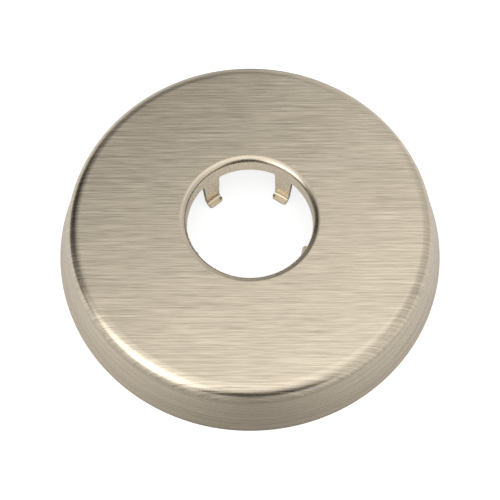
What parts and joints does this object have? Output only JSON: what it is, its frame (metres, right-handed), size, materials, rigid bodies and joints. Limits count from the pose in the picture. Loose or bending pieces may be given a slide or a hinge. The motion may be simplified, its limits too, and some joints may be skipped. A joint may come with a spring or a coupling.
{
  "type": "shower arm flange",
  "caption": "Round flange pressed from one sheet, with a sloped side wall, a rounded shoulder and a collared pipe hole whose spring fingers grip the pipe.",
  "frame": {"origin": "centre of the base rim's circle, in the plane of the wall", "axes": "+Z along the pipe, away from the wall; the brushing on the face runs along X; one spring finger points near -Y"},
  "size_m": [0.07, 0.07, 0.0108],
  "materials": {
    "brushed_nickel": "brushed nickel, satin"
  },
  "bodies": {
    "root": {"flange": "brushed_nickel"}
  },
  "joints": []
}
